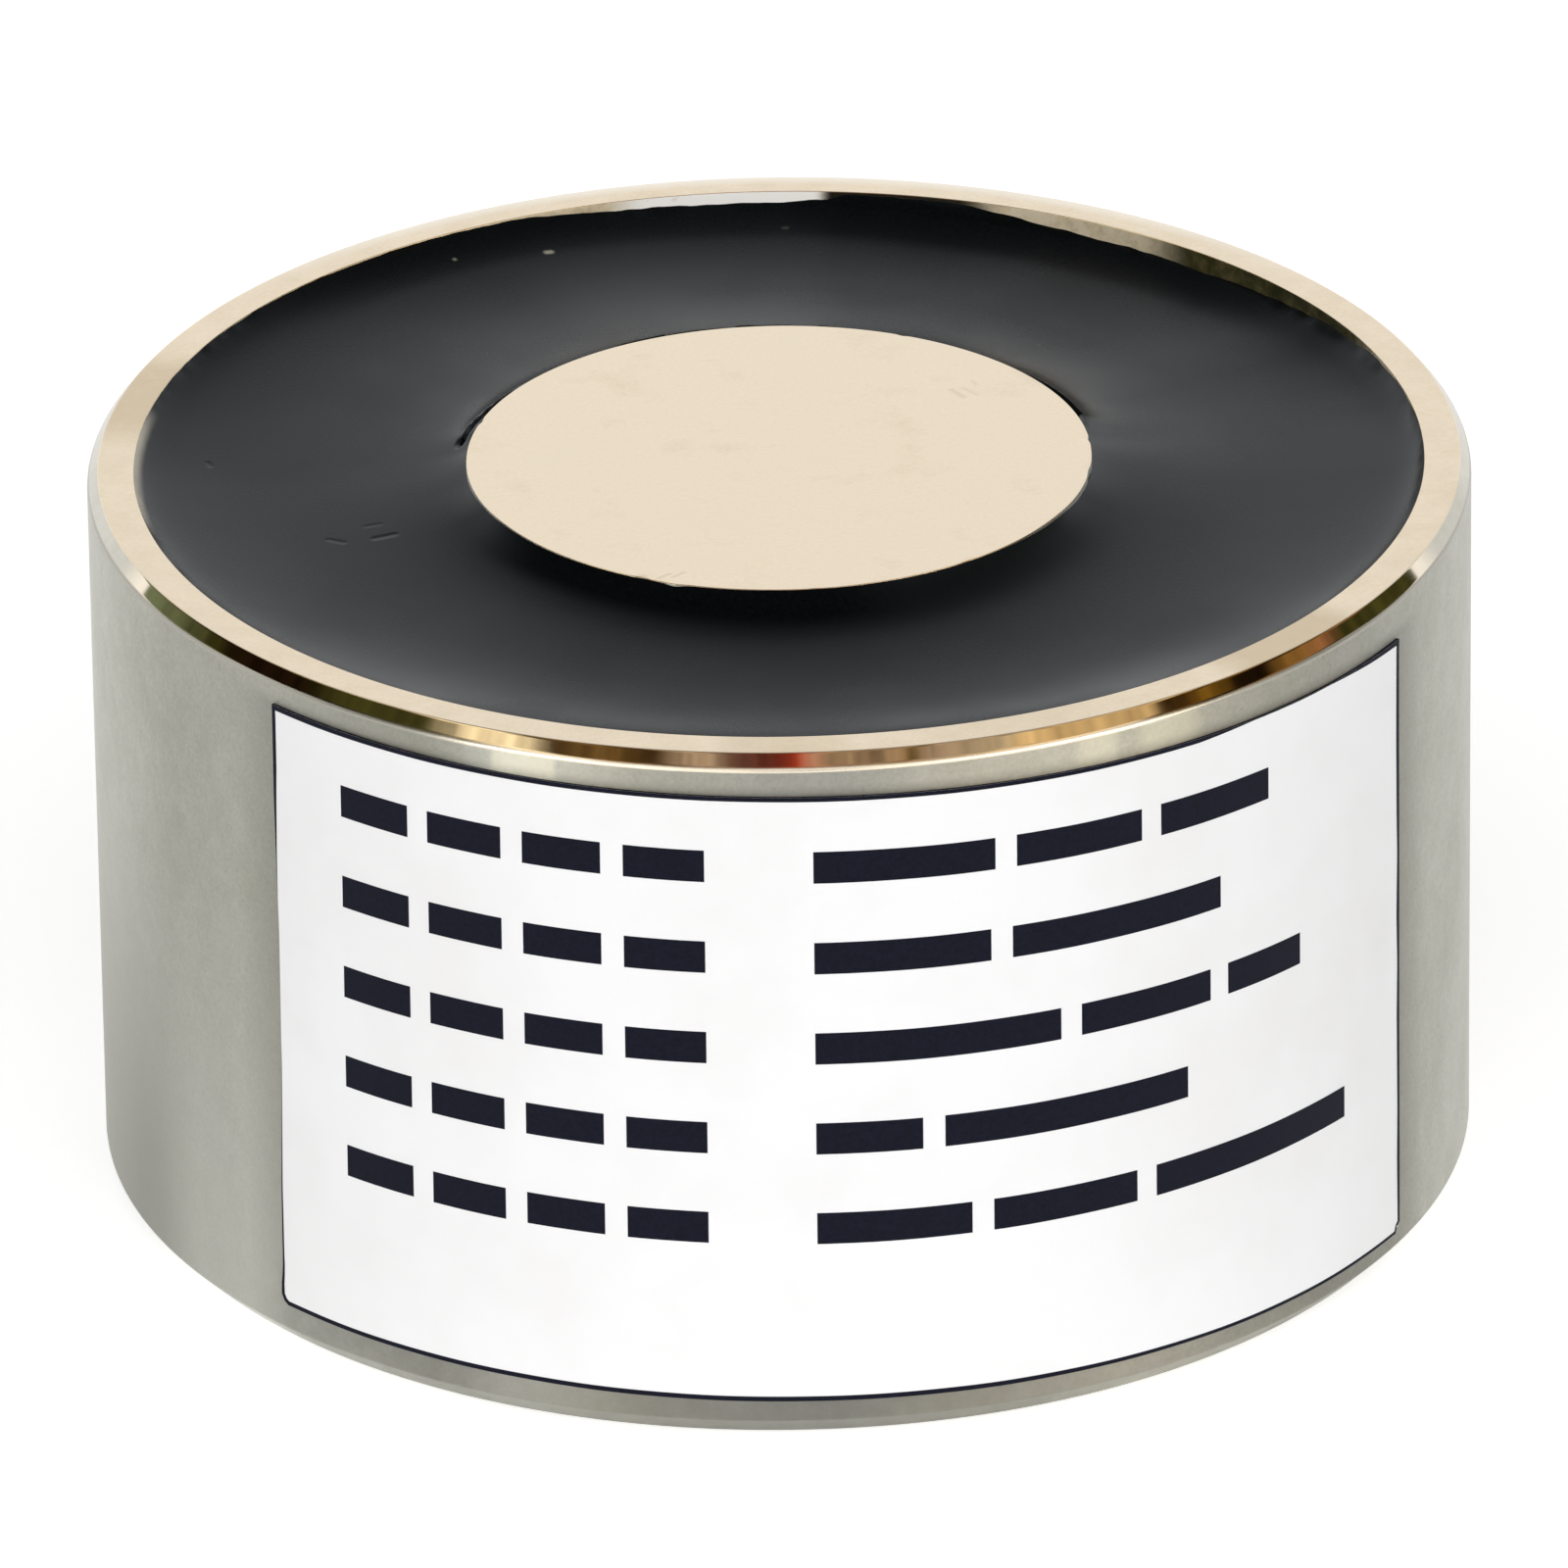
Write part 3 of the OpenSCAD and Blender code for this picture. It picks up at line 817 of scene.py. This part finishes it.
nx, ny = 140, 64
verts, faces = [], []
for layer in (0, 1):
    for j, v in enumerate(np.linspace(0, 1, ny)):
        for i, u in enumerate(np.linspace(0, 1, nx)):
            dx, dz = rubbed_back(u, v), 0.0
            if j == 0 and i == nx - 1:
                dx, dz = -0.2, 0.24
            if j == 0 and i == 0:
                dx, dz = 0.12, 0.12
            verts.append(on_wall(u, v, paper_lift(u, v) if layer == 0 else 0.0, dx, dz))
per = nx * ny
for j in range(ny - 1):
    for i in range(nx - 1):
        q = [j * nx + i, j * nx + i + 1, (j + 1) * nx + i + 1, (j + 1) * nx + i]
        faces.append(q)
        faces.append([v + per for v in reversed(q)])
rim = list(range(nx)) + [j * nx + nx - 1 for j in range(1, ny)]
rim += [(ny - 1) * nx + i for i in range(nx - 2, -1, -1)] + [j * nx for j in range(ny - 2, 0, -1)]
for k, v in enumerate(rim):
    w = rim[(k + 1) % len(rim)]
    faces.append((v, w, w + per, v + per))
edge_inked = [0] * (len(faces) - len(rim)) + [1] * len(rim)
paper = mesh_object("paper", verts, faces, [paper_mat, ink_mat], edge_inked)
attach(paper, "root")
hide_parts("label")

verts, faces = [], []


def ink_bar(x0, y0, x1, y1):
    """A patch of ink that follows the paper. Corners in millimetres from the label's left foot."""
    nu, nv = max(2, int((x1 - x0) / 0.4) + 1), max(2, int((y1 - y0) / 0.4) + 1)
    start = len(verts)
    for v in np.linspace(y0 / LABEL_H, y1 / LABEL_H, nv):
        for u in np.linspace(x0 / LABEL_W, x1 / LABEL_W, nu):
            verts.append(on_wall(u, v, paper_lift(u, v) + INK_LIFT))
    for j in range(nv - 1):
        for i in range(nu - 1):
            k = start + j * nu + i
            faces.append((k, k + 1, k + nu + 1, k + nu))


def ink_line(points):
    """A line of ink along the label's edge, to the left of the way it runs: points are (x, y, width)."""
    path = []
    for (x0, y0, w0), (x1, y1, w1) in zip(points, points[1:]):
        n = max(1, int(math.hypot(x1 - x0, y1 - y0) / 0.4))
        path += [(x0 + (x1 - x0) * k / n, y0 + (y1 - y0) * k / n, w0 + (w1 - w0) * k / n) for k in range(n)]
    path.append(points[-1])
    start = len(verts)
    for k, (x, y, w) in enumerate(path):
        before, after = path[max(k - 1, 0)], path[min(k + 1, len(path) - 1)]
        d0 = Vector((x - before[0], y - before[1])) if k else Vector((after[0] - x, after[1] - y))
        d1 = Vector((after[0] - x, after[1] - y)) if k < len(path) - 1 else d0
        n0, n1 = Vector((-d0.y, d0.x)).normalized(), Vector((-d1.y, d1.x)).normalized()
        inward = (n0 + n1) / (1 + n0.dot(n1)) * w
        for px, py in ((x, y), (x + inward.x, y + inward.y)):
            u, v = px / LABEL_W, py / LABEL_H
            verts.append(on_wall(u, v, paper_lift(u, v) + INK_LIFT, rubbed_back(u, v)))
    for k in range(len(path) - 1):
        q = start + 2 * k
        faces.append((q, q + 2, q + 3, q + 1))


# The printed border. It is rubbed off along most of the left edge and thin at the foot on the right.
W, H = LABEL_W, LABEL_H
BORDER = [
    (0, 10.5, 0.01), (0, 8.5, 0.03), (0, 5.0, 0.07), (0, 2.0, 0.1), (0, 0.38, 0.16),
    (0.12, 0.12, 0.18), (0.34, 0, 0.17), (16, 0, 0.19), (26, 0, 0.19), (36, 0, 0.14),
    (W - 0.34, 0, 0.12), (W - 0.2, 0.24, 0.14), (W, 0.38, 0.15), (W, 3, 0.2), (W, 5, 0.17),
    (W, 9, 0.19), (W, 11, 0.15), (W, 13, 0.21), (W, 15.5, 0.16), (W, 17, 0.2), (W, 20, 0.22),
    (W, H, 0.2), (45, H, 0.15), (42.5, H, 0.04), (38.5, H, 0.04), (36, H, 0.16), (14, H, 0.17),
    (0, H, 0.2), (0, 21.5, 0.2), (0, 19.4, 0.12), (0, 17.8, 0.05), (0, 16.4, 0.01),
]
ink_line(BORDER)

# Rows of plain bars: four short ones on the left, and others on the right with their reach and shares.
ROWS = ((15.5, (4, 3, 3)), (13.2, (3, 4)), (17.1, (5, 3, 2)), (11.7, (2, 5)), (19.6, (3, 3, 5)))
FIRST_ROW, ROW_PITCH, BAR_HALF = H - 2.75, 3.58, 0.62
SHORT_X, SHORT_PITCH, SHORT_W = 3.4, 3.72, 2.9
LONG_X, LONG_EXTRA, LONG_GAP = 21.3, 2.4, 0.8
for n, (right_end, shares) in enumerate(ROWS):
    y = FIRST_ROW - ROW_PITCH * n
    for k in range(4):
        x = SHORT_X + SHORT_PITCH * k
        ink_bar(x, y - BAR_HALF, x + SHORT_W, y + BAR_HALF)
    unit = (right_end + LONG_EXTRA - LONG_GAP * (len(shares) - 1)) / sum(shares)
    x = LONG_X
    for w in shares:
        ink_bar(x, y - BAR_HALF, x + unit * w, y + BAR_HALF)
        x += unit * w + LONG_GAP
ink = mesh_object("ink", verts, faces, [ink_mat])
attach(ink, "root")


# Nodes that keep their CAD form

for node, mat in {
    "coil_bobbin": plain("nylon", (0.8, 0.77, 0.68), (0.88, 0.85, 0.77), 0.45, 1.2, 0.02),
    "coil_winding": copper_wire(),
    "coil_tape": plain("film_tape", (0.75, 0.5, 0.06), (0.85, 0.62, 0.12), 0.25, 2.0, 0.01),
    "lead_bush": plain("black_rubber", (0.018, 0.018, 0.019), (0.035, 0.035, 0.036), 0.55, 0.4, 0.02),
}.items():
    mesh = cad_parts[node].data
    mesh.materials.clear()
    mesh.materials.append(mat)


# Floor, light and camera

FLOOR_HALF, FLOOR_DROP = 3000.0, 0.02


def floor_material():
    m = Mat("floor", (0.86, 0.86, 0.86), 0.9, 0.0, 0.0)
    cloud = m.noise(60.0, 2, 0.5)
    m.to("Base Color", m.ramp(cloud, [(0.3, 0.86), (0.7, 0.88)]))
    ray = m.nt.nodes.new("ShaderNodeLightPath").outputs
    mirrored = m.math("MAXIMUM", ray["Is Camera Ray"], ray["Is Glossy Ray"])
    shown = m.math("MAXIMUM", mirrored, ray["Is Transmission Ray"])
    m.to("Emission Color", (1, 1, 1, 1))
    m.to("Emission Strength", m.math("MULTIPLY", shown, 0.56))
    return m.mat


corners = [(x * FLOOR_HALF, y * FLOOR_HALF, -FLOOR_DROP) for x, y in ((-1, -1), (1, -1), (1, 1), (-1, 1))]
floor = mesh_object("floor", corners, [(0, 1, 2, 3)], [floor_material()])

world = bpy.data.worlds.new("studio")
bpy.context.scene.world = world
world.use_nodes = True
nt = world.node_tree
nt.nodes.clear()
toward = nt.nodes.new("ShaderNodeTexCoord").outputs["Generated"]


# World helpers

def wput(socket, value):
    if isinstance(value, bpy.types.NodeSocket):
        nt.links.new(value, socket)
    else:
        socket.default_value = value


def wnode(kind, **inputs):
    """A node with its inputs set. An input called i and a number is taken by its place."""
    node = nt.nodes.new(kind)
    for key, value in inputs.items():
        by_place = key[0] == "i" and key[1:].isdigit()
        wput(node.inputs[int(key[1:]) if by_place else key], value)
    return node


def wdot(vector):
    node = wnode("ShaderNodeVectorMath", i0=toward, i1=vector)
    node.operation = "DOT_PRODUCT"
    return node.outputs["Value"]


def wscale(vector, factor):
    node = wnode("ShaderNodeVectorMath", i0=vector, i3=factor)
    node.operation = "SCALE"
    return node.outputs["Vector"]


def wmath(operation, a, b=0.0):
    node = wnode("ShaderNodeMath", i0=a, i1=b)
    node.operation = operation
    return node.outputs["Value"]


def wtimes(a, b):
    return wmath("MULTIPLY", a, b)


def wspan(value, low, high, to_low, to_high, smooth=False):
    node = wnode("ShaderNodeMapRange", Value=value)
    if smooth:
        node.interpolation_type = "SMOOTHSTEP"
    for key, number in zip(("From Min", "From Max", "To Min", "To Max"), (low, high, to_low, to_high)):
        node.inputs[key].default_value = number
    return node.outputs["Result"]


def wmix(factor, a, b):
    node = wnode("ShaderNodeMix", Factor=factor)
    node.data_type = "RGBA"
    wput(node.inputs[6], a)
    wput(node.inputs[7], b)
    return node.outputs[2]


def wnoise(vector, scale, detail, roughness=0.5):
    node = wnode("ShaderNodeTexNoise", Vector=vector, Scale=scale, Detail=detail, Roughness=roughness)
    return node.outputs["Fac"]


def wramp(value, stops):
    node = wnode("ShaderNodeValToRGB", Fac=value)
    while len(node.color_ramp.elements) < len(stops):
        node.color_ramp.elements.new(0.5)
    for element, (where, colour) in zip(node.color_ramp.elements, stops):
        element.position = where
        element.color = (*colour, 1)
    return node.outputs["Color"]


up, away, right = wdot((0, 0, 1)), wdot(AWAY), wdot(RIGHT)
aside = wmath("ABSOLUTE", right)

# Soft boxes and gaps round the table, by angle from the camera: they make the streaks on the wall.
TOP = 10.0
COOL, WARM, GOLD = (1, 1, 1), (1, 0.93, 0.8), (1, 0.86, 0.66)
BOXES = [
    (-180, 1.0, COOL), (-145, 1.06, COOL), (-120, 1.2, COOL), (-106, 1.0, COOL), (-94, 1.3, COOL),
    (-84, 1.15, COOL), (-78, 0.1, WARM), (-64, 0.7, WARM), (-51, 0.3, WARM), (-47, 9.5, COOL),
    (-41, 9.0, COOL), (-34, 6.2, WARM), (-26, 4.6, GOLD), (-20, 1.8, WARM), (-12, 3.2, WARM),
    (-6, 1.0, COOL), (-2, 0.0, COOL), (9, 0.0, COOL), (15, 1.0, WARM), (20, 4.6, GOLD),
    (36, 6.0, GOLD), (46, 5.2, GOLD), (52, 9.5, GOLD), (58, 5.4, GOLD), (69, 5.6, GOLD),
    (75, 1.2, GOLD), (96, 0.4, WARM), (108, 0.9, COOL), (119, 1.18, COOL), (130, 1.03, COOL),
    (142, 0.94, COOL), (180, 1.0, COOL),
]
turned = wspan(wmath("ARCTAN2", right, wtimes(away, -1.0)), -math.pi, math.pi, 0, 1)
ring = wramp(turned, [((deg + 180) / 360, tuple(v / TOP * c for c in tint)) for deg, v, tint in BOXES])
# Above the table's height the camera's side is plain, so that the pole face looks the same from behind.
overhead = wtimes(wspan(up, 0.04, 0.2, 0, 1, True), wspan(away, -0.2, 0.0, 1, 0, True))
ring = wmix(overhead, ring, (1 / TOP, 1 / TOP, 1 / TOP, 1))
table = wscale(ring, wtimes(wspan(up, 0.45, 0.7, 1.0, 0.3), TOP))

# The dark room over the camera, by angle from straight up: it makes the blocks of colour on the chamfer.
SWING = 1.3
# Cosine and sine of the 25 degrees by which the camera looks down
VIEW_COS, VIEW_SIN = 0.9063, 0.4226
CHAMFER = math.atan2(CHAMFER_W, CHAMFER_H)
OLIVE, MOSS, BLACK = (0.14, 0.17, 0.09), (0.05, 0.047, 0.011), (0.011, 0.005, 0.002)
UMBER, BROWN, SAND = (0.045, 0.021, 0.004), (0.2, 0.115, 0.035), (1.1, 0.93, 0.62)
TAN, WINE, RED = (0.44, 0.32, 0.22), (0.14, 0.022, 0.012), (0.42, 0.05, 0.02)
SALMON, HONEY, OCHRE = (0.55, 0.27, 0.18), (0.66, 0.46, 0.22), (0.2, 0.1, 0.012)
GILT, STRAW, FAWN = (0.27, 0.14, 0.03), (0.52, 0.42, 0.27), (0.32, 0.215, 0.13)
PLUM, CLAY = (0.13, 0.065, 0.045), (0.32, 0.135, 0.06)
BLOCKS = [
    (-66, OLIVE), (-58, MOSS), (-54, BLACK), (-45, BLACK), (-41.5, MOSS), (-31.5, MOSS),
    (-27, SAND), (-22, SAND), (-19.8, UMBER), (-16.5, BROWN), (-10.5, UMBER), (-8, TAN), (-6, TAN),
    (-4.6, PLUM), (-0.4, WINE), (1.2, RED), (2.6, SALMON), (4, FAWN), (9.6, FAWN), (11, BROWN),
    (12.8, TAN), (19.3, STRAW), (21, HONEY), (33.1, HONEY), (34.4, UMBER), (36.9, UMBER),
    (38.9, OCHRE), (42.3, BLACK), (46.4, BLACK), (50, GILT), (54, CLAY), (56.4, MOSS),
]


def block_place(deg):
    """Place on the ramp of what the chamfer mirrors at this angle from the picture's front."""
    c, d = math.cos(math.radians(deg)), math.sin(math.radians(deg))
    facing = 2 * (math.cos(CHAMFER) * c * VIEW_COS + math.sin(CHAMFER) * VIEW_SIN)
    angle = math.atan2(facing * math.cos(CHAMFER) * d, facing * math.sin(CHAMFER) - VIEW_SIN)
    return max(0.0, min(1.0, (angle + SWING) / (2 * SWING)))


swing = wmath("ARCTAN2", right, up)
shift = wtimes(wmath("SUBTRACT", wnoise(toward, 7.0, 2.0, 0.6), 0.5), 0.07)
place = wspan(wmath("ADD", swing, shift), -SWING, SWING, 0, 1)
blocks = wramp(place, [(block_place(deg), colour) for deg, colour in BLOCKS])
streak = wnoise(wnode("ShaderNodeCombineXYZ", X=wtimes(swing, 30.0)).outputs[0], 1.0, 2.0)
mottle = wnoise(toward, 24.0, 3.0, 0.6)
uneven = wtimes(wspan(streak, 0.3, 0.7, 0.72, 1.28), wspan(mottle, 0.35, 0.65, 0.6, 1.4))
blocks = wscale(blocks, uneven)

# A plain ceiling behind those blocks
ceiling = wspan(wmath("SUBTRACT", away, wtimes(wtimes(right, right), 1.5)), -0.3, -0.24, 0, 1, True)
blocks = wmix(ceiling, blocks, (0.35, 0.345, 0.33, 1))

# Where the room takes over from the table
lifted = wspan(wmath("ADD", up, wtimes(aside, 0.5)), 0.625, 0.64, 0, 1, True)
before = wspan(wmath("ADD", away, wtimes(right, 0.025)), 0.575, 0.59, 1, 0, True)
room = wtimes(wtimes(lifted, before), wspan(aside, 0.89, 0.92, 1, 0, True))

# The camera sees white, shiny things see table and room, and dull things get soft light from the front.
ray = nt.nodes.new("ShaderNodeLightPath").outputs
glossy = wmath("MAXIMUM", ray["Is Glossy Ray"], ray["Is Transmission Ray"])
seen_bg = wnode("ShaderNodeBackground", Color=wmix(room, table, blocks), Strength=1.0)
soft = wtimes(wmath("POWER", wspan(away, -1, 1, 1, 0), 2.0), 1.9)
soft_bg = wnode("ShaderNodeBackground", Color=(1, 1, 1, 1), Strength=soft)
white_bg = wnode("ShaderNodeBackground", Color=(1, 1, 1, 1), Strength=1.0)
both = wnode("ShaderNodeMixShader", Fac=glossy, i1=soft_bg.outputs[0], i2=seen_bg.outputs[0])
studio = wnode("ShaderNodeMixShader", Fac=ray["Is Camera Ray"], i1=both.outputs[0], i2=white_bg.outputs[0])
wnode("ShaderNodeOutputWorld", Surface=studio.outputs[0])


def area_light(name, swing_deg, distance, up_m, wide, tall, watts, colour):
    """A soft box, swung from the camera's side towards the picture's right."""
    lamp = bpy.data.lights.new(name, "AREA")
    lamp.shape = "RECTANGLE"
    lamp.size, lamp.size_y = wide, tall
    lamp.energy = watts
    lamp.color = colour
    obj = bpy.data.objects.new(name, lamp)
    bpy.context.collection.objects.link(obj)
    angle = math.radians(swing_deg)
    out = Vector(RIGHT) * math.sin(angle) - Vector(AWAY) * math.cos(angle)
    obj.location = out * distance + Vector((0, 0, up_m))
    obj.rotation_euler = (Vector((0, 0, 0.015)) - obj.location).to_track_quat("-Z", "Y").to_euler()


area_light("key", -42, 0.85, 0.36, 0.3, 0.6, 0.5, (1, 0.975, 0.93))
area_light("fill", 51, 0.85, 0.36, 0.4, 0.6, 0.6, (1, 0.97, 0.92))

# The camera looks down by 25 degrees. Its place and its small roll come from the outlines in the picture.
ELEVATION, DISTANCE, ROLL = math.radians(24.97), 0.6988, math.radians(-0.76)
IMAGE_PX, SENSOR_MM = 1600, 36
FOCAL_PX = 19739.0
FACE_X, FACE_Y = 794.8, 465.1
target = Vector((0, 0, POT_H * MM))
back = (Vector((0, 0, 1)) * math.sin(ELEVATION) - Vector(AWAY) * math.cos(ELEVATION)).normalized()
upward = back.cross(Vector(RIGHT))
axes = Matrix((Vector(RIGHT), upward, back)).transposed() @ Matrix.Rotation(ROLL, 3, "Z")
offset = Vector((FACE_X - IMAGE_PX / 2, IMAGE_PX / 2 - FACE_Y, -FOCAL_PX)).normalized()
aim = offset.rotation_difference(Vector((0, 0, -1))).to_matrix()
lens = bpy.data.cameras.new("camera")
lens.sensor_width = SENSOR_MM
lens.lens = FOCAL_PX * SENSOR_MM / IMAGE_PX
lens.clip_start, lens.clip_end = 0.05, 20
camera = bpy.data.objects.new("camera", lens)
bpy.context.collection.objects.link(camera)
camera.matrix_world = Matrix.Translation(target + back * DISTANCE) @ (axes @ aim).to_4x4()
bpy.context.scene.camera = camera
bpy.context.scene.view_settings.view_transform = "Standard"
